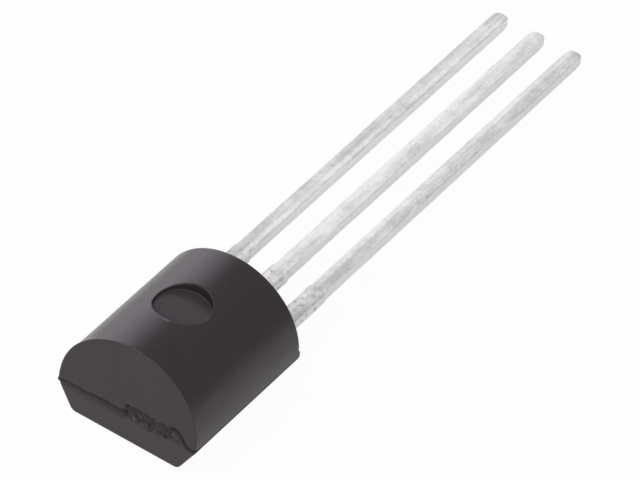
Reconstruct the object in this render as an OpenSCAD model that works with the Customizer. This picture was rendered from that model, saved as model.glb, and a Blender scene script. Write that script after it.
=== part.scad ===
// Three-lead voltage regulator in a moulded D-section package, lying on its flat face.
// X runs across the row of leads, Y along them towards the tips, and Z up from the flat face.
// The origin is at the middle of the flat face.

/* [Body] */
// Width of the body at the parting plane
body_w = 4.6; // [4.4:0.05:5.2]
// Length of the body from the closed end to the lead end, at the parting plane
body_l = 5; // [4.7:0.05:5.4]
// Depth from the flat face to the middle of the lead frame's sheet
flat_depth = 1.05; // [0.9:0.05:1.3]
// Depth of the parting plane below the middle of the sheet
parting_drop = 0.1; // [0.04:0.01:0.16]
// Width of the flat face between its sharp corners
flat_w = 3.52; // [3.2:0.02:4]
// Ledge on each side where the flat half stands out past the round half
parting_ledge = 0.05; // [0.02:0.01:0.1]
// Draft of the end faces on the round half, in degrees
round_draft = 1.8; // [0.5:0.1:5]
// Draft of the end faces on the flat half, in degrees
flat_draft = 4; // [0.5:0.5:10]
// Radius of the flat face's two long edges
flat_edge_r = 0.15; // [0.05:0.01:0.3]
// Radius of the flat face's edges at the two ends
end_edge_r = 0.04; // [0.02:0.01:0.15]

/* [Moulding marks] */
// Diameter of the ejector pin's recess on the crown
ejector_d = 1.65; // [1:0.05:2]
// Depth of the ejector pin's recess below the crown
ejector_depth = 0.3; // [0.25:0.01:0.4]
// Distance of the recess's middle from the crown line, across the body
ejector_offset = -0.13; // [-0.2:0.01:0.2]
// Width of the broken gate on the closed end
gate_w = 1.65; // [0.8:0.05:2]
// Height of the broken gate above the parting plane
gate_h = 0.44; // [0.2:0.01:0.6]
// How far the broken gate stands proud of the closed end
gate_proud = 0.05; // [0.02:0.01:0.15]
// Distance of the gate's middle from the middle of the closed end
gate_offset = 0.58; // [0:0.01:0.8]
// How far the flash at the dam bar stands out of the lead end
dam_flash = 0.1; // [0.03:0.01:0.2]

/* [Leads] */
// Pitch of the leads
lead_pitch = 1.27; // [1.2:0.01:1.35]
// Width of a lead
lead_w = 0.46; // [0.36:0.01:0.56]
// Thickness of the lead frame's sheet
lead_t = 0.38; // [0.33:0.01:0.5]
// Free length of the leads from the lead end to the tips
lead_l = 15.9; // [12.7:0.1:17]
// Corner radius of the lead tips, seen from above
tip_r = 0.15; // [0.05:0.01:0.17]
// Chamfer along the edges of the leads
lead_edge = 0.04; // [0.02:0.01:0.08]
// Width of a lead's shoulder, left beside the body where the dam bar was cut away
shoulder_w = 0.56; // [0.48:0.01:0.57]
// Length of the shoulders from the lead end
shoulder_l = 2.45; // [1.2:0.05:2.6]

/* [Lead frame in the body] */
// Depth below the lead end at which the leads widen to their necks
neck_inset = 0.3; // [0.2:0.05:0.5]
// Width of the necks
neck_w = 0.6; // [0.57:0.01:0.7]
// Radius of the notches that lock the necks in the moulding
lock_r = 0.1; // [0.05:0.01:0.15]
// Depth of the bonding posts below the lead end
post_inset = 0.8; // [0.7:0.05:1]
// Width of a bonding post
post_w = 0.86; // [0.75:0.01:0.9]
// Length of a bonding post
post_l = 1.2; // [0.9:0.05:1.3]
// Distance of a post's middle from its lead's middle, outwards
post_shift = 0.1; // [0:0.01:0.15]
// Gap between the posts and the flag that carries the chip
flag_gap = 0.25; // [0.2:0.01:0.35]
// Width of the flag
flag_w = 2.4; // [2.1:0.05:2.6]
// Length of the flag
flag_l = 1.9; // [1.6:0.05:2]
// Corner radius of the posts and the flag
frame_r = 0.12; // [0.05:0.01:0.2]

/* [Chip] */
// Width of the chip
die_w = 1.1; // [0.9:0.05:1.2]
// Length of the chip
die_l = 1.2; // [0.9:0.05:1.3]
// Thickness of the chip
die_t = 0.25; // [0.2:0.01:0.3]
// Thickness of the layer that fixes the chip to the flag
attach_t = 0.03; // [0.02:0.01:0.05]
// How far the layer reaches past each side of the chip
attach_margin = 0.05; // [0.02:0.01:0.1]

/* [Bond wires] */
// Diameter of a bond wire
wire_d = 0.04; // [0.03:0.005:0.05]
// Diameter of the flattened ball on the chip
ball_d = 0.1; // [0.08:0.01:0.12]
// Height of the flattened ball
ball_h = 0.03; // [0.02:0.005:0.04]
// Radius of a wire's loop above its ball
loop_r = 0.22; // [0.16:0.01:0.25]
// Distance of the bond pads from the chip's edges
pad_inset = 0.2; // [0.1:0.01:0.3]
// Distance of the ground wire's landing from the flag's edge
landing_inset = 0.2; // [0.1:0.01:0.3]

/* [Hidden] */
$fn = 48;

// How far cuts and joined solids run past the faces that they meet
overrun = 0.1;

round_r = body_w / 2 - parting_ledge;
parting_z = flat_depth - parting_drop;
crown = flat_depth + round_r;
lead_end = body_l / 2;
tip_y = lead_end + lead_l;

lead_bottom = flat_depth - lead_t / 2;
lead_top = flat_depth + lead_t / 2;
neck_y = lead_end - neck_inset;
post_y = lead_end - post_inset;
flag_y = post_y - post_l - flag_gap;
post_x = lead_pitch + post_shift;

die_y = flag_y - flag_l / 2;
die_bottom = lead_top + attach_t;
die_top = die_bottom + die_t;

// Where each wire starts on the chip and where it lands
pad_x = die_w / 2 - pad_inset;
pad_y = die_y + die_l / 2 - pad_inset;
ground_pad_y = die_y - die_l / 2 + pad_inset;
post_landing_y = post_y - post_l / 2;
ground_landing_x = flag_w / 2 - landing_inset;

// A section drawn in X and Z, carried along Y from y_start to y_end
module along_y(y_start, y_end) {
    translate([0, y_end, 0])
        rotate([90, 0, 0])
            linear_extrude(y_end - y_start)
                children();
}

// A section drawn in Y and Z, carried along X over the given width
module along_x(width) {
    rotate([90, 0, 90])
        linear_extrude(width, center = true)
            children();
}

// A plan drawn in X and Y, stamped out of the lead frame's sheet
module stamped() {
    translate([0, 0, lead_bottom])
        linear_extrude(lead_t)
            children();
}

// Section of the flat half: wide at the parting plane, narrower and round-cornered at the flat face
module flat_half_section(top, bottom, edge_r) {
    side_angle = atan2(parting_z, (top - bottom) / 2);
    setback = edge_r * tan(side_angle / 2);
    corner_x = bottom / 2 - setback;
    side_x = bottom / 2 + setback * cos(side_angle);
    side_z = setback * sin(side_angle);
    polygon([
        [-top / 2, parting_z], [-side_x, side_z], [-corner_x, 0],
        [corner_x, 0], [side_x, side_z], [top / 2, parting_z]
    ]);
    for (side = [-1, 1])
        translate([side * corner_x, edge_r])
            circle(edge_r);
}

// The half of the moulding below the parting plane, drafted on all four sides
module flat_half() {
    flat_l = body_l - 2 * parting_z * tan(flat_draft);
    intersection() {
        along_y(-lead_end - overrun, lead_end + overrun)
            flat_half_section(body_w, flat_w, flat_edge_r);
        along_x(body_w + overrun)
            flat_half_section(body_l, flat_l, end_edge_r);
    }
}

// The half of the moulding above the parting plane: a half cylinder on short upright walls, with drafted
// ends, and its root in the flat half
module round_half() {
    top = crown + overrun;
    top_y = lead_end - (top - parting_z) * tan(round_draft);
    root = parting_z - parting_ledge;
    root_y = lead_end - overrun;
    intersection() {
        along_y(-lead_end - overrun, lead_end + overrun) {
            translate([0, flat_depth])
                circle(round_r);
            translate([-round_r, root])
                square([2 * round_r, flat_depth - root]);
        }
        along_x(body_w + overrun)
            polygon([
                [-root_y, root], [root_y, root], [lead_end, parting_z],
                [top_y, top], [-top_y, top], [-lead_end, parting_z]
            ]);
    }
}

// What is left of the gate where it was broken off the closed end
module broken_gate() {
    translate([gate_offset, 0, 0])
        along_x(gate_w)
            polygon([
                [-lead_end - gate_proud, parting_z],
                [-lead_end + gate_h, parting_z - gate_h],
                [-lead_end + gate_h, parting_z + gate_h],
                [-lead_end, parting_z + gate_h]
            ]);
}

// Flash as thick as the sheet, squeezed out along the parting plane at the lead end
module dam_bar_flash() {
    translate([-body_w / 2, lead_end - dam_flash, lead_bottom])
        cube([body_w, 2 * dam_flash, lead_t]);
}

// A plate with round corners, its upper edge at the given point and its length running down in Y
module rounded_plate(x, y, width, length) {
    translate([x, y - length / 2]) {
        square([width - 2 * frame_r, length], center = true);
        square([width, length - 2 * frame_r], center = true);
        for (side = [-1, 1], end = [-1, 1])
            translate([side * (width / 2 - frame_r), end * (length / 2 - frame_r)])
                circle(frame_r);
    }
}

// Outline of a lead, from inside its neck to its round tip
module lead_outline() {
    translate([-lead_w / 2, post_y])
        square([lead_w, tip_y - tip_r - post_y]);
    translate([tip_r - lead_w / 2, post_y])
        square([lead_w - 2 * tip_r, tip_y - post_y]);
    for (side = [-1, 1])
        translate([side * (lead_w / 2 - tip_r), tip_y - tip_r])
            circle(tip_r);
}

// Section of a lead of the given width, with its four long edges chamfered
module lead_section(width) {
    side = width / 2;
    face = lead_t / 2;
    translate([0, flat_depth])
        polygon([
            [-side, lead_edge - face], [lead_edge - side, -face],
            [side - lead_edge, -face], [side, lead_edge - face],
            [side, face - lead_edge], [side - lead_edge, face],
            [lead_edge - side, face], [-side, face - lead_edge]
        ]);
}

// The straight part of a lead with its shoulder, whose edges are chamfered as far as the neck
module straight_lead() {
    intersection() {
        stamped() lead_outline();
        along_y(neck_y - overrun, tip_y + overrun) lead_section(lead_w);
    }
    along_y(neck_y - overrun, lead_end + shoulder_l) lead_section(shoulder_w);
}

// Neck of a lead from neck_y down to y_end, with a lock notch on each side
module neck_outline(y_end) {
    difference() {
        translate([-neck_w / 2, y_end])
            square([neck_w, neck_y - y_end]);
        for (side = [-1, 1])
            translate([side * neck_w / 2, (neck_y + post_y) / 2])
                circle(lock_r);
    }
}

// An outer lead, with its bonding post shifted outwards; side is -1 or 1
module outer_lead(side) {
    translate([side * lead_pitch, 0, 0]) {
        straight_lead();
        stamped() {
            neck_outline(post_y - frame_r);
            rounded_plate(side * post_shift, post_y, post_w, post_l);
        }
    }
}

// The middle lead, stamped in one piece with the flag
module middle_lead() {
    straight_lead();
    stamped() {
        neck_outline(flag_y - frame_r);
        rounded_plate(0, flag_y, flag_w, flag_l);
    }
}

// A block on the flag, centred under the chip
module chip_block(width, length, bottom, top) {
    translate([-width / 2, die_y - length / 2, bottom])
        cube([width, length, top - bottom]);
}

// The layer under the chip, from the given height up
module attach_layer(bottom) {
    chip_block(die_w + 2 * attach_margin, die_l + 2 * attach_margin, bottom, die_bottom);
}

// The chip, from the given height up
module chip(bottom) {
    chip_block(die_w, die_l, bottom, die_top);
}

// Course of a bond wire: it rises from its ball in a loop, leaves the loop on a tangent and slopes
// down to its landing; the ball and the end of the slope run on into what they are bonded to
module wire_course(start, landing) {
    run = norm(landing - start);
    heading = atan2(landing.y - start.y, landing.x - start.x);
    loop_z = die_top + ball_h;
    drop = loop_z - lead_top;
    reach = norm([run - loop_r, drop]);
    leave_angle = acos(loop_r / reach) - atan2(drop, run - loop_r);
    seat_angle = asin(ball_h / 2 / loop_r);
    slope_l = sqrt(reach * reach - loop_r * loop_r);
    spare_l = wire_d * tan(leave_angle);
    translate([start.x, start.y, 0])
        rotate([0, 0, heading]) {
            translate([0, 0, die_top - ball_h])
                cylinder(d = ball_d, h = 2 * ball_h);
            translate([loop_r, 0, loop_z]) {
                rotate([90, 0, 0])
                    rotate([0, 0, leave_angle])
                        rotate_extrude(angle = 180 + seat_angle - leave_angle)
                            translate([loop_r, 0])
                                circle(d = wire_d);
                rotate([0, -leave_angle, 0])
                    translate([loop_r, 0, 0])
                        mirror([0, 0, 1])
                            cylinder(d = wire_d, h = slope_l + spare_l);
            }
        }
}

// The courses of the wires, each to the lead that it serves
module post_wire_course(side) {
    wire_course([side * pad_x, pad_y], [side * post_x, post_landing_y]);
}

module flag_wire_course() {
    wire_course([-pad_x, ground_pad_y], [-ground_landing_x, ground_pad_y]);
}

// A wire to an outer lead's post, ending on the faces of the chip and the post
module post_wire(side) {
    difference() {
        post_wire_course(side);
        chip(die_bottom);
        outer_lead(side);
    }
}

// The wire to the flag, ending on the faces of the chip and the flag
module flag_wire() {
    difference() {
        flag_wire_course();
        chip(die_bottom);
        middle_lead();
    }
}

// Everything that the moulding closes round, each piece running on into the next
module inserts() {
    outer_lead(-1);
    middle_lead();
    outer_lead(1);
    attach_layer(flat_depth);
    chip(flat_depth);
    post_wire_course(-1);
    flag_wire_course();
    post_wire_course(1);
}

module body() {
    color("#3d393b")
        difference() {
            union() {
                flat_half();
                round_half();
                broken_gate();
                dam_bar_flash();
            }
            translate([ejector_offset, 0, crown - ejector_depth])
                cylinder(d = ejector_d, h = ejector_depth + overrun);
            inserts();
        }
}

module output_lead() {
    color("#d4d2d0") outer_lead(-1);
}

module ground_lead() {
    color("#d4d2d0") middle_lead();
}

module input_lead() {
    color("#d4d2d0") outer_lead(1);
}

module die_attach() {
    color("#a9a8a4") attach_layer(lead_top);
}

module die() {
    color("#4b4f63") chip(die_bottom);
}

module output_wire() {
    color("#d8ad4a") post_wire(-1);
}

module ground_wire() {
    color("#d8ad4a") flag_wire();
}

module input_wire() {
    color("#d8ad4a") post_wire(1);
}

body();
output_lead();
ground_lead();
input_lead();
die_attach();
die();
output_wire();
ground_wire();
input_wire();
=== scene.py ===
import math

import bpy
from mathutils import Matrix, Vector


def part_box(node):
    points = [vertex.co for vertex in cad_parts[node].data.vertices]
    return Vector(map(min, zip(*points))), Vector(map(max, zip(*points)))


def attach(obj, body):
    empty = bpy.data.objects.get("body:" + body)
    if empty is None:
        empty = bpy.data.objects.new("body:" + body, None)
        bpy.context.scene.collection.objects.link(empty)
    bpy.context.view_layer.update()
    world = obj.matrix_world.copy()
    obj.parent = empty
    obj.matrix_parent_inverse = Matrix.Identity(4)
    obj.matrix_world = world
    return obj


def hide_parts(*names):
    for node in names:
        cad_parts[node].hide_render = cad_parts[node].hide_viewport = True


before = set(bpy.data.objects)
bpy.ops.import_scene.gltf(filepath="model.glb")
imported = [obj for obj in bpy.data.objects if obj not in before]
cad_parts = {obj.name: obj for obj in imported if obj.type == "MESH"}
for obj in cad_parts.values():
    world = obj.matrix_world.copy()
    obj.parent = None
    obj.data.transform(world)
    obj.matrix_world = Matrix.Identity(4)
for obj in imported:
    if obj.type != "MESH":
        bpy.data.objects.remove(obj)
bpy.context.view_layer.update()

# Leads. Three strips of copper alloy, stamped from one sheet with their inner ends: a bonding post on each
# outer lead and the flag that carries the chip on the middle one. The free lengths are dipped in tin, and
# the wider shoulder beside the body is what the dam bar left when it was cut away.
MM = 0.001


class Flow:
    """A socket of a node tree. Sums on values add Math nodes to the same tree."""

    def __init__(self, tree, socket=None):
        self.tree = tree
        self.socket = socket

    def node(self, kind, settings, values, outlet=0):
        """Adds a node, with its settings set before its sockets, and gives one of its outlets."""
        node = self.tree.nodes.new(kind)
        for name, setting in settings.items():
            setattr(node, name, setting)
        for socket, value in values.items():
            if isinstance(value, Flow):
                self.tree.links.new(value.socket, node.inputs[socket])
            else:
                node.inputs[socket].default_value = value
        return Flow(self.tree, node.outputs[outlet])

    def math(self, operation, *others):
        """A Math node on this value and the others."""
        return self.node("ShaderNodeMath", {"operation": operation}, dict(enumerate((self, *others))))

    def __add__(self, other):
        return self.math("ADD", other)

    def __mul__(self, other):
        return self.math("MULTIPLY", other)

    def __sub__(self, other):
        return self.math("SUBTRACT", other)

    def __rsub__(self, other):
        return self * -1 + other

    def __truediv__(self, other):
        return self.math("DIVIDE", other)

    def __abs__(self):
        return self.math("ABSOLUTE")

    def __neg__(self):
        return self * -1

    __radd__ = __add__
    __rmul__ = __mul__


def lowest(first, *others):
    """The smallest of several distances, which joins solids."""
    for other in others:
        first = first.math("MINIMUM", other)
    return first


def highest(first, *others):
    """The largest of several distances, which keeps what solids share."""
    for other in others:
        first = first.math("MAXIMUM", other)
    return first


def apart(a, b):
    """Distance to a point that lies a away along one axis and b along another."""
    return (a * a + b * b).math("SQRT")


def inside(faces, radius):
    """Distance to the solid inside all the faces, with the edges between them rounded."""
    square = 0
    for face in faces:
        over = (face + radius).math("MAXIMUM", 0)
        square = over * over + square
    return highest(*faces).math("MINIMUM", radius * -1) + square.math("SQRT")


def past(value, start, soft):
    """1 where the value is above start and 0 below it, rising over the soft width on both sides."""
    steps = {"Value": value, "From Min": start - soft, "From Max": start + soft}
    return value.node("ShaderNodeMapRange", {"interpolation_type": "SMOOTHSTEP"}, steps)


def short_of(value, end, soft):
    """1 where the value is below end and 0 above it, falling over the soft width on both sides."""
    steps = {"Value": value, "From Min": end - soft, "From Max": end + soft, "To Min": 1, "To Max": 0}
    return value.node("ShaderNodeMapRange", {"interpolation_type": "SMOOTHSTEP"}, steps)


def band(value, start, end, soft):
    """1 where the value lies between start and end, with both ends soft."""
    return past(value, start, soft) * short_of(value, end, soft)


def noise(place, scale, detail=2, roughness=0.5):
    """Fractal noise around zero, from about -1 to 1, with the scale in cycles for each unit of place."""
    values = {"Vector": place, "Scale": scale, "Detail": detail, "Roughness": roughness}
    return place.node("ShaderNodeTexNoise", {}, values) * 2 - 1


def split(place):
    """The X, Y and Z of a place."""
    return [place.node("ShaderNodeSeparateXYZ", {}, {0: place}, axis) for axis in "XYZ"]


def drawn_out(place, share):
    """The place with its Y cut to a share, which draws a pattern on it out along the leads."""
    factors = {0: place, 1: [1, share, 1]}
    return place.node("ShaderNodeVectorMath", {"operation": "MULTIPLY"}, factors, "Vector")


def solid_piece(name, sizes, low, high, cells, merging, distance, finish):
    """A mesh of a solid, from its distance in mm in a node tree that has the sizes as named inputs."""
    tree = bpy.data.node_groups.new(name + "_form", "GeometryNodeTree")
    tree.interface.new_socket("Solid", in_out="OUTPUT", socket_type="NodeSocketGeometry")
    inlets = {
        label: tree.interface.new_socket(label, in_out="INPUT", socket_type="NodeSocketFloat")
        for label in sizes
    }
    entry = tree.nodes.new("NodeGroupInput")
    size = {label: Flow(tree, entry.outputs[label]) for label in sizes}
    flow = Flow(tree)
    place = flow.node("GeometryNodeInputPosition", {}, {})
    margin = 3 * Vector(cells)
    density = 1 - distance(place, *split(place), size)
    grid = {"Density": density, "Background": 0.0, "Min": low - margin, "Max": high + margin}
    for axis, length, cell in zip("XYZ", high - low + 2 * margin, cells):
        grid["Resolution " + axis] = math.ceil(length / cell)
    shape = flow.node("GeometryNodeVolumeCube", {}, grid)
    meshing = {"Volume": shape, "Threshold": 1.0, "Adaptivity": merging}
    shape = flow.node("GeometryNodeVolumeToMesh", {}, meshing)
    shape = flow.node("GeometryNodeSetShadeSmooth", {}, {"Geometry": shape})
    shape = flow.node("GeometryNodeTransform", {}, {"Geometry": shape, "Scale": [MM] * 3})
    shape = flow.node("GeometryNodeRealizeInstances", {}, {"Geometry": shape})
    shape = flow.node("GeometryNodeSetMaterial", {}, {"Geometry": shape, "Material": finish})
    tree.links.new(shape.socket, tree.nodes.new("NodeGroupOutput").inputs["Solid"])
    piece = bpy.data.objects.new(name, bpy.data.meshes.new(name))
    bpy.context.scene.collection.objects.link(piece)
    modifier = piece.modifiers.new("form", "NODES")
    modifier.node_group = tree
    for label, value in sizes.items():
        modifier[inlets[label].identifier] = value
    shown = piece.evaluated_get(bpy.context.evaluated_depsgraph_get())
    mesh = bpy.data.meshes.new_from_object(shown)
    piece.modifiers.clear()
    piece.data = mesh
    mesh.name = name
    return piece


def surface(name, settings):
    """A new material, its shader with the constant settings, and the place on the piece in mm."""
    material = bpy.data.materials.new(name)
    material.use_nodes = True
    shader = material.node_tree.nodes["Principled BSDF"]
    for socket, value in settings.items():
        shader.inputs[socket].default_value = value
    flow = Flow(material.node_tree)
    place = flow.node("ShaderNodeTexCoord", {}, {}, "Object")
    in_mm = {"Vector": place, "Scale": 1 / MM}
    return material, shader, flow.node("ShaderNodeVectorMath", {"operation": "SCALE"}, in_mm, "Vector")


def feed(shader, links):
    """Joins what varies over a surface to the shader's sockets."""
    for socket, flow in links.items():
        flow.tree.links.new(flow.socket, shader.inputs[socket])


def blend(factor, first, second):
    """A colour between two colours."""
    return factor.node("ShaderNodeMix", {"data_type": "RGBA"}, {0: factor, 6: first, 7: second}, 2)


def relief(height, depth):
    """A bump of the given depth in mm, from a height between about -1 and 1."""
    return height.node("ShaderNodeBump", {}, {"Strength": 1.0, "Distance": depth * MM, "Height": height})


lead_pitch = 1.27
lead_w = 0.485
lead_t = 0.39
lead_l = 15.9
lead_edge = 0.03
lead_crown = 0.012
crown_fade = 0.1
tip_edge = 0.12
tip_fade = 0.2
tip_r = 0.18
shoulder_w = 0.56
shoulder_l = 2.45
neck_w = 0.6
neck_inset = 0.3
lock_r = 0.1
post_w = 0.86
post_l = 1.2
post_inset = 0.8
post_shift = 0.1
flag_w = 2.4
flag_l = 1.9
flag_gap = 0.25
frame_r = 0.12
tin_wave = 0.013
wave_draw = 0.6
wave_stop = 0.2
wave_fade = 0.15
wave_sink = 0.3
lead_cells = (0.0135, 0.05, 0.0135)
lead_merging = 0.0

ground_low, ground_high = (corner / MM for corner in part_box("ground_lead"))
body_low, body_high = (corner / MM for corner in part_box("body"))
sheet_z = (ground_low.z + ground_high.z) / 2
tip_y = ground_high.y
lead_end = tip_y - lead_l
neck_y = lead_end - neck_inset
post_y = lead_end - post_inset
flag_y = post_y - post_l - flag_gap
lead_sizes = {
    "Lead width": lead_w,
    "Sheet thickness": lead_t,
    "Edge radius": lead_edge,
    "Tip radius": tip_r,
    "Shoulder width": shoulder_w,
    "Neck width": neck_w,
    "Lock radius": lock_r,
}


def plate(x, y, width, start, end, radius):
    """Distance in the plan to a plate with round corners, of a width and from one Y to another."""
    return inside([abs(x) - width * 0.5, abs(y - (start + end) / 2) - (end - start) / 2], radius)


def lead_form(x, y, z, size, lead):
    """Distance to a lead: -1 is the output lead, 0 the ground lead with the flag and 1 the input lead."""
    across = x - lead * lead_pitch
    inner_end = post_y if lead else flag_y
    strip = plate(across, y, size["Lead width"], inner_end, tip_y, size["Tip radius"])
    shoulder = plate(across, y, size["Shoulder width"], inner_end, lead_end + shoulder_l, tin_wave)
    neck = plate(across, y, size["Neck width"], inner_end - frame_r, neck_y, tin_wave)
    lock_y = (neck_y + post_y) / 2
    notch = apart(abs(across) - size["Neck width"] * 0.5, y - lock_y) - size["Lock radius"]
    if lead:
        end = plate(across - lead * post_shift, y, post_w, post_y - post_l, post_y, frame_r)
    else:
        end = plate(across, y, flag_w, flag_y - flag_l, flag_y, frame_r)
    plan = lowest(strip, shoulder, highest(neck, -notch), end)
    crown = across * across * (lead_crown / (lead_w / 2) ** 2) * past(y, lead_end, crown_fade)
    edge = past(y, tip_y - tip_fade, tip_fade) * (tip_edge - lead_edge) + size["Edge radius"]
    return inside([plan, abs(z - sheet_z) - size["Sheet thickness"] * 0.5 + crown], edge)


def tinned_lead(lead):
    """Distance function of one lead with the waves of its tin coat, which stop at the body and the tip."""
    def distance(place, x, y, z, size):
        coated = band(y, lead_end, tip_y - wave_stop, wave_fade)
        wave = noise(drawn_out(place, wave_draw), 3, 4, 0.6) * coated
        return lead_form(x, y, z, size, lead) + wave * tin_wave + tin_wave * wave_sink
    return distance


tin_grey = [0.51, 0.503, 0.497, 1]
tin_bright = [0.82, 0.82, 0.815, 1]
# White of the tin's beads, also painted light on the cut sides.
tin_glint = [0.94, 0.94, 0.94, 1]
# Darker tin of the pits, also painted shade along the lead edges.
tin_pit_and_edge_shade = [0.36, 0.35, 0.34, 1]
tin_relief = 0.02
streak_draw = 0.1
streak_wander = 0.03
zone_middles = (-1.2, 0, 1.2)
zone_half = 0.6
zone_fade = 0.1
side_turn = 0.6
side_fade = 0.25
# Where the painted light band runs across the output lead.
painted_band_from = 0.06
painted_band_to = 0.18
painted_band_fade = 0.04
left_to = -0.06
left_fade = 0.06
tip_zone = 0.3
grit_inset = 1
grit_fade = 0.8
dross_level = 0.26
dross_fade = 0.08
corner_w = 0.025
corner_h = 0.035
corner_fade = 0.012

tin, tin_shader, place = surface("tinned_copper", {"Metallic": 0.2})
x, y, z = split(place)
across = x - (x / lead_pitch).math("ROUND") * lead_pitch
along = drawn_out(place, streak_draw)
grit = band(y, lead_end - grit_inset, lead_end + shoulder_l, grit_fade)
tip = past(y, tip_y - tip_zone, tip_zone)
zones = [band(x, middle - zone_half, middle + zone_half, zone_fade) for middle in zone_middles]
on_output, on_ground, on_input = zones
facing = place.node("ShaderNodeTexCoord", {}, {}, "Normal")
sideways = facing.node("ShaderNodeSeparateXYZ", {}, {0: facing}, "X")
cut_side = past(abs(sideways), side_turn, side_fade)
patches = noise(place, 0.9, 2)
mottle = noise(place, 3.2, 3, 0.6) * (1 - tip * 0.5)
drawn = noise(along, 5, 2, 0.6)
grain = noise(place, 12, 2, 0.55) * (1 - tip * 0.7)
dross = noise(place, 6, 2)
wander = across + drawn * streak_wander
# Painted light and shade, mixed with the tin's own streaks: each lead gets its own lightness across its top
# face, with a light band along the output lead and a lighter left part on the ground and input leads, and
# its cut sides get their own lightness too.
painted_light_band = band(wander, painted_band_from, painted_band_to, painted_band_fade) * 0.55 - 0.22
left_face = short_of(wander, left_to, left_fade)
streaks_and_painted_light = on_output * painted_light_band + on_ground * (left_face * 0.2 + 0.13) + on_input * (left_face * 0.62 - 0.36)
side_painted_light = on_output * 0.3 + on_ground * 0.32 - on_input * 0.06
tone = streaks_and_painted_light * (1 - cut_side) + cut_side * side_painted_light
pits = past(dross, dross_level, dross_fade) * grit
beads = short_of(dross, -dross_level, dross_fade) * grit
# Painted shade: broken dark lines along the four long edges of each lead, fading out at the tip.
corner = past(abs(across), lead_w / 2 - corner_w, corner_fade)
corner = corner * past(abs(z - sheet_z), lead_t / 2 - corner_h, corner_fade)
painted_edge_shade = corner * past(noise(along, 4, 3), -0.05, 0.1) * (1 - tip)
# The cut sides are painted lighter than the top face, painted light where less light reaches them, and the
# tin darkens towards each tip.
shade = patches * 0.38 + mottle * 0.52 + drawn * 0.85 + grain * 0.48
shade = shade + tone + cut_side * 0.6 - tip * 0.3 + 0.6
bright = blend(shade.math("MAXIMUM", 0), tin_grey, tin_bright)
# Whiter still: the tin's beads near the body, and painted light on the cut sides of the output and ground
# leads.
beads_and_side_light = highest(beads * 0.8, cut_side * (on_output + on_ground * 0.7))
bright = blend(beads_and_side_light, bright, tin_glint)
bumps = mottle * 0.5 + drawn * 0.35 + grain * 0.22 + beads * 0.9 - pits * 0.9
# The base colour darkens in the pits near the body and in the painted shade along the edges.
feed(tin_shader, {
    "Base Color": blend(highest(pits * 0.75, painted_edge_shade * 0.5), bright, tin_pit_and_edge_shade),
    "Roughness": mottle * 0.08 + grain * 0.04 + 0.55,
    "Normal": relief(bumps, tin_relief),
})

for lead, name in ((-1, "output_lead"), (0, "ground_lead"), (1, "input_lead")):
    low, high = (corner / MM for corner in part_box(name))
    form = tinned_lead(lead)
    piece = solid_piece("tinned_" + name, lead_sizes, low, high, lead_cells, lead_merging, form, tin)
    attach(piece, "root")
    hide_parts(name)

# Chip bond. A thin layer of silver-filled adhesive, cured between the flag and the chip, with a grainy skin
# where it is squeezed out past the chip's edges.
adhesive_dark = [0.33, 0.33, 0.31, 1]
adhesive_light = [0.52, 0.52, 0.5, 1]
adhesive_relief = 0.004

bond, bond_shader, place = surface("silver_adhesive", {"Metallic": 0.35})
flakes = noise(place, 30, 3, 0.7)
feed(bond_shader, {
    "Base Color": blend(flakes * 0.5 + 0.5, adhesive_dark, adhesive_light),
    "Roughness": flakes * 0.12 + 0.55,
    "Normal": relief(flakes, adhesive_relief),
})
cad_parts["die_attach"].material_slots[0].material = bond

# Chip. A sawn block of silicon, polished and passivated on top, with the faint blocks of its circuit under
# the glassy layer. It sits in the adhesive on the middle lead's flag.
silicon_dark = [0.05, 0.055, 0.085, 1]
silicon_light = [0.13, 0.13, 0.17, 1]
block_scale = 9.0
track_scale = 14.0
track_half_w = 0.05
track_fade = 0.03
track_relief = 0.001

glassy = {"Coat Weight": 0.5, "Coat Roughness": 0.08}
silicon, silicon_shader, place = surface("passivated_silicon", glassy)
plan = {"Vector": place, "Scale": block_scale}
blocks = place.node("ShaderNodeTexVoronoi", {"distance": "CHEBYCHEV"}, plan, "Distance")
plan = {"Vector": place, "Scale": track_scale}
tracks = place.node("ShaderNodeTexVoronoi", {"feature": "DISTANCE_TO_EDGE"}, plan)
film = noise(place, 2.5, 2)
feed(silicon_shader, {
    "Base Color": blend(blocks + film * 0.2, silicon_dark, silicon_light),
    "Roughness": film * 0.05 + 0.22,
    "Normal": relief(past(tracks, track_half_w, track_fade), track_relief),
})
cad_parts["die"].material_slots[0].material = silicon

# Bond wires. Three lengths of fine drawn gold wire, one to each lead, balled on the chip's pads and
# stitched down on the posts and the flag.
gold_dark = [0.66, 0.43, 0.1, 1]
gold_light = [0.8, 0.54, 0.16, 1]
gold_relief = 0.0006

gold, gold_shader, place = surface("bond_wire", {"Metallic": 1.0})
drawing = noise(place, 60, 2)
feed(gold_shader, {
    "Base Color": blend(drawing * 0.5 + 0.5, gold_dark, gold_light),
    "Roughness": drawing * 0.06 + 0.26,
    "Normal": relief(drawing, gold_relief),
})
for name in ("output_wire", "ground_wire", "input_wire"):
    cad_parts[name].material_slots[0].material = gold

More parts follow.
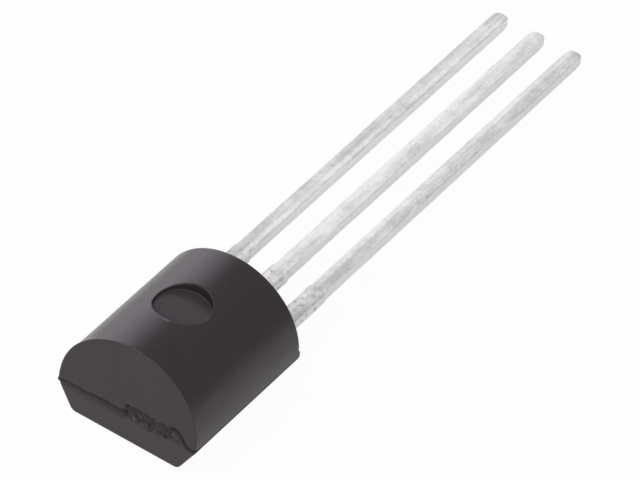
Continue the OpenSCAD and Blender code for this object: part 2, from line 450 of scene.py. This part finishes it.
# Body. Black epoxy filled with silica, moulded round the lead frame in a two-part mould. It keeps the marks
# of the mould: the ledge and flash at the parting plane, the ejector pin's recess on the crown, and on the
# closed end the torn gate with a groove on one side and a cracked flake on the other.
flat_w = 3.52
parting_drop = 0.1
parting_ledge = 0.03
round_r = 2.249
swell_angle = math.radians(57)
swell_left = 0.005
swell_left_power = 8
swell_right = 0.035
swell_right_power = 4
shoulder_flare = 0.055
flare_l = 0.15
flare_fade = 0.2
closed_draft = math.tan(math.radians(1.8))
lead_draft = math.tan(math.radians(0.5))
flat_draft = math.tan(math.radians(4))
draft_fade = 0.1
round_edge_r = 0.025
flat_edge_r = 0.11
end_edge_r = 0.04
ejector_r = 0.825
ejector_depth = 0.3
ejector_x = -0.13
rim_r = 0.015
dam_flash = 0.06
dam_flash_h = 0.26
dam_edge_r = 0.06
dam_uneven = 0.03
nub_inset = 0.02
nub_drop = 0.12
nub_h = 0.07
nub_l = 0.12
nub_r = nub_h * 0.7
groove_path = [(-2.14, -0.11), (-1.9, -0.09), (-1.2, -0.08), (-0.58, -0.07), (-0.12, -0.08)]
groove_depth = 0.05
groove_half_h = 0.06
groove_gain = 0.045
groove_gain_x = -1.2
groove_gain_fade = 0.8
groove_ragged = 0.05
lip_depth = 0.04
lip_drop = 0.08
lip_fade = 0.09
gate_path = [(0.08, 0.05), (0.35, 0.11), (0.65, 0.02), (1.05, 0.04), (1.2, 0.05)]
gate_half_h = 0.23
gate_sunk = 0.06
gate_ragged = 0.14
gate_fade = 0.03
tear = 0.17
pit_path = [(1.52, 0.03), (1.68, -0.04)]
pit_half_h = 0.05
crack_path = [
    (1.44, 0.29), (1.6, 0.32), (1.77, 0.2), (1.87, 0.05), (1.96, -0.06), (2.11, -0.1), (2.28, -0.08),
]
crack_depth = 0.08
crack_half_w = 0.045
crack_ragged = 0.015
mark_fade = 0.025
mark_reach = 0.5
body_cells = (0.022, 0.022, 0.022)
body_merging = 0.003

body_w = body_high.x - body_low.x
parting_z = sheet_z - parting_drop
side_slope = (body_w - flat_w) / 2 / parting_z
body_sizes = {
    "Round radius": round_r,
    "Half length": lead_end,
    "Round edge radius": round_edge_r,
    "Flat edge radius": flat_edge_r,
    "End edge radius": end_edge_r,
    "Ejector radius": ejector_r,
    "Ejector depth": ejector_depth,
    "Dam flash": dam_flash,
    "Dam flash height": dam_flash_h,
}


def to_path(x, h, points):
    """Distance in the end face to a path through the points."""
    gaps = []
    for start, end in zip(points, points[1:]):
        run = Vector(end) - Vector(start)
        share = ((x - start[0]) * run.x + (h - start[1]) * run.y) / run.length_squared
        share = share.math("MAXIMUM", 0).math("MINIMUM", 1)
        gaps.append(apart(x - share * run.x - start[0], h - share * run.y - start[1]))
    return lowest(*gaps)


def torn_edge(place):
    """Noise that makes the edges of the marks on the closed end ragged."""
    return noise(place, 4, 3, 0.6)


def groove_reach(x, ragged):
    """Half the height of the groove, which broadens towards the gate."""
    return past(x, groove_gain_x, groove_gain_fade) * groove_gain + ragged * groove_ragged + groove_half_h


def gate_zones(x, h, ragged, spread):
    """Where the closed end has its groove, its torn gate and the crack over its flake, from 0 to 1."""
    soft = mark_fade + spread
    groove = short_of(to_path(x, h, groove_path) - groove_reach(x, ragged) - spread, 0, soft)
    holes = lowest(to_path(x, h, gate_path) - gate_half_h, to_path(x, h, pit_path) - pit_half_h)
    gate = short_of(holes + ragged * gate_ragged, 0, gate_fade)
    crack = to_path(x, h, crack_path) + ragged * crack_ragged - crack_half_w - spread
    return groove, gate, short_of(crack, 0, soft)


def moulded_body(place, x, y, z, size):
    """Distance to the body, as the two halves of the mould and their marks leave it."""
    h = z - sheet_z
    up = h.math("MAXIMUM", 0)
    drop = z - parting_z
    side = abs(x)
    ragged = torn_edge(place)
    groove, gate, crack = gate_zones(x, h, ragged, 0)
    lips = short_of(to_path(x, h + lip_drop, groove_path) - groove_reach(x, ragged), 0, lip_fade)
    torn = gate * (noise(place, 5, 4, 0.7) * tear - gate_sunk)
    proud = torn - highest(groove * groove_depth, crack * crack_depth) - lips * lip_depth
    reach = abs(y) - size["Half length"] - proud * short_of(y, 0, mark_reach)
    draft = past(y, 0, draft_fade) * (lead_draft - closed_draft) + closed_draft
    radius = apart(x, up)
    flare = short_of(y, flare_l - lead_end, flare_fade) * shoulder_flare + swell_left
    leftward = (up * math.cos(swell_angle) - x * math.sin(swell_angle)) / radius
    swell = leftward.math("MAXIMUM", 0).math("POWER", swell_left_power) * flare
    swell = (x / radius).math("MAXIMUM", 0).math("POWER", swell_right_power) * swell_right + swell
    barrel = radius - size["Round radius"] - swell
    round_half = inside([barrel, reach + drop * draft], size["Round edge radius"])
    round_half = highest(round_half, -drop - parting_ledge)
    flank = (side - body_w / 2 - drop * side_slope) * math.cos(math.atan(side_slope))
    block = inside([flank, -z], size["Flat edge radius"])
    flat_half = highest(inside([block, reach - drop * flat_draft], size["End edge radius"]), drop)
    uneven = noise(place, 2.5, 3).math("MAXIMUM", 0) * dam_uneven
    nub = inside([
        abs(x + body_w / 2 - nub_inset - nub_l) - nub_l,
        abs(h + nub_drop) - nub_h,
        abs(y + size["Half length"]) - nub_l,
    ], nub_r)
    dam = inside([
        side - body_w / 2 + uneven,
        abs(h) - size["Dam flash height"] * 0.5,
        abs(y - size["Half length"]) - size["Dam flash"] + uneven,
    ], dam_edge_r)
    shell = lowest(round_half, flat_half, dam, highest(nub, reach))
    bore = apart(x - ejector_x, y) - size["Ejector radius"]
    hole = highest(bore, body_high.z - size["Ejector depth"] - z)
    return inside([shell, -hole], rim_r)


epoxy_dark = [0.0268, 0.0203, 0.0235, 1]
epoxy_grey = [0.0425, 0.0331, 0.0377, 1]
# Near-black of the painted shade in the body's groove, crack, recess and gate.
epoxy_painted_shade = [0.009, 0.008, 0.008, 1]
epoxy_chalk = [0.26, 0.25, 0.25, 1]
epoxy_relief = 0.006
end_depth = 0.25
end_fade = 0.05
mark_lift = 0.02
mark_spread = 0.03
flat_fade = 0.05
pin_floor = body_high.z - ejector_depth
pin_floor_half = 0.05
pin_inset = 0.03
pin_fade = 0.02
wall_half = 0.02
wall_fade = 0.01
rim_out = 0.04
crown_side_fade = 0.1

epoxy, epoxy_shader, place = surface("moulded_epoxy", {"IOR": 1.5, "Specular IOR Level": 0.38})
x, y, z = split(place)
closed_end = short_of(y, end_depth - lead_end, end_fade)
zones = gate_zones(x, z - sheet_z + mark_lift, torn_edge(place), mark_spread)
groove, gate, crack = (zone * closed_end for zone in zones)
pin = apart(x - ejector_x, y)
cloud = noise(place, 1.1, 3)
bloom = noise(place, 6, 3, 0.6)
filler = noise(place, 34, 3, 0.7)
scars = noise(place, 8, 3, 0.65)
scuffs = past(noise(place, 8, 2), 0.58, 0.04)
specks = past(scars, 0.3, 0.1) * gate
# Painted shade over the torn gate, deepest in its hollows.
gate_pit_shade = (short_of(scars, -0.1, 0.15) * 0.6 + 0.2) * gate
# Painted light: the floor of the ejector recess is made lighter where the recess shades it.
pin_face = short_of(pin, ejector_r - pin_inset, pin_fade)
pin_face = pin_face * band(z, pin_floor - pin_floor_half, pin_floor + pin_floor_half, wall_fade)
# Painted shade on the wall of the ejector recess, and a fainter painted shade on its rim that dulls the
# highlight the rim catches.
wall = band(pin, ejector_r - wall_half, ejector_r + wall_half, wall_fade)
wall = wall * past(z, pin_floor + wall_half, wall_fade)
rim = band(pin, ejector_r - pin_inset, ejector_r + rim_out, pin_fade) * past(z, sheet_z, crown_side_fade)
grey = pin_face * 0.7 + cloud * 0.2 + filler * 0.2 + bloom * 0.15 + scars * gate * 0.8
grey = grey + short_of(z, parting_z, flat_fade) * 0.2 + 0.45
dull = blend(grey.math("MAXIMUM", 0), epoxy_dark, epoxy_grey)
# Painted shade: the groove and the crack on the closed end, the recess's wall and rim and the gate's
# hollows are darkened towards one near-black.
dark = highest(groove * 0.6, crack * 0.85, wall * 0.7, rim * 0.4, gate_pit_shade)
dull = blend(dark, dull, epoxy_painted_shade)
rough = cloud * 0.015 + bloom * 0.02 + filler * 0.02 + highest(gate, groove, crack, rim) * 0.4 + 0.18
feed(epoxy_shader, {
    "Base Color": blend(highest(specks * 0.4, scuffs * 0.25), dull, epoxy_chalk),
    "Roughness": rough,
    "Normal": relief(filler * 0.35 + bloom * 0.15 + gate * (scars * 2 + filler), epoxy_relief),
})
body = solid_piece(
    "moulded_body", body_sizes, body_low, body_high, body_cells, body_merging, moulded_body, epoxy
)
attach(body, "root")
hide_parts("body")

# Studio. A white floor with the part lying on it, a soft panel behind to the left, whose reflection lies
# along the round side, a large soft key light from above in front, a low fill light from the front right,
# and a dim grey room.
paper_grey = [0.66, 0.66, 0.66, 1]
room_grey = [0.25, 0.25, 0.25, 1]
seen_white = 0.96
mirrored_white = 0.3
floor_half = 0.6
floor_drop = 0.01 * MM
lamp_distance = 0.3

white = bpy.data.materials.new("white_floor")
white.use_nodes = True
white.node_tree.nodes.clear()
flow = Flow(white.node_tree)
seen = flow.node("ShaderNodeLightPath", {}, {}, "Is Camera Ray") * seen_white
for ray in ("Is Glossy Ray", "Is Transmission Ray"):
    seen = highest(seen, flow.node("ShaderNodeLightPath", {}, {}, ray) * mirrored_white)
paper = flow.node("ShaderNodeBsdfDiffuse", {}, {"Color": paper_grey})
glow = flow.node("ShaderNodeEmission", {}, {"Color": [1, 1, 1, 1], "Strength": 1.0})
mixed = flow.node("ShaderNodeMixShader", {}, {0: seen, 1: paper, 2: glow})
outlet = white.node_tree.nodes.new("ShaderNodeOutputMaterial")
white.node_tree.links.new(mixed.socket, outlet.inputs["Surface"])

floor_mesh = bpy.data.meshes.new("floor")
corners = [(a * floor_half, b * floor_half, -floor_drop) for a, b in ((-1, -1), (1, -1), (1, 1), (-1, 1))]
floor_mesh.from_pydata(corners, [], [(0, 1, 2, 3)])
floor_mesh.materials.append(white)
floor = bpy.data.objects.new("floor", floor_mesh)
bpy.context.scene.collection.objects.link(floor)


def heading(azimuth, elevation):
    """Direction from the part, with the azimuth turned from the closed end, -Y, towards +X."""
    a, e = math.radians(azimuth), math.radians(elevation)
    return Vector((math.sin(a) * math.cos(e), -math.cos(a) * math.cos(e), math.sin(e)))


def soft_light(name, azimuth, elevation, width, height, power, colour):
    """A rectangular light that faces the part."""
    lamp = bpy.data.lights.new(name, "AREA")
    lamp.shape = "RECTANGLE"
    lamp.size = width
    lamp.size_y = height
    lamp.energy = power
    lamp.color = colour
    light = bpy.data.objects.new(name, lamp)
    light.location = heading(azimuth, elevation) * lamp_distance
    light.rotation_euler = heading(azimuth, elevation).to_track_quat("Z", "Y").to_euler()
    bpy.context.scene.collection.objects.link(light)


soft_light("back_panel", 235, 17, width=0.4, height=0.24, power=0.44, colour=(0.96, 0.89, 1.0))
soft_light("key", -20, 60, width=0.5, height=0.5, power=1.2, colour=(1, 1, 1))
soft_light("side_fill", 55, 18, width=0.28, height=0.16, power=0.35, colour=(1, 1, 1))

world = bpy.data.worlds.new("room")
world.use_nodes = True
world.node_tree.nodes["Background"].inputs["Color"].default_value = room_grey
bpy.context.scene.world = world
bpy.context.scene.view_settings.view_transform = "Standard"

# Camera. It stands in front of the closed end, to the right and above, far off with a long lens, and is
# rolled a little.
camera_azimuth = 28.241
camera_elevation = 41.443
camera_roll = 8.634
camera_distance = 0.192871
camera_aim = Vector((0.082, 6.803, 1.05)) * MM
camera_focal = 388.7
camera_near = 0.01

camera_lens = bpy.data.cameras.new("camera")
camera_lens.lens = camera_focal
camera_lens.clip_start = camera_near
camera = bpy.data.objects.new("camera", camera_lens)
back = heading(camera_azimuth, camera_elevation)
level = back.to_track_quat("Z", "Y").to_matrix().to_4x4()
roll = Matrix.Rotation(math.radians(camera_roll), 4, "Z")
camera.matrix_world = Matrix.Translation(camera_aim + back * camera_distance) @ level @ roll
bpy.context.scene.collection.objects.link(camera)
bpy.context.scene.camera = camera
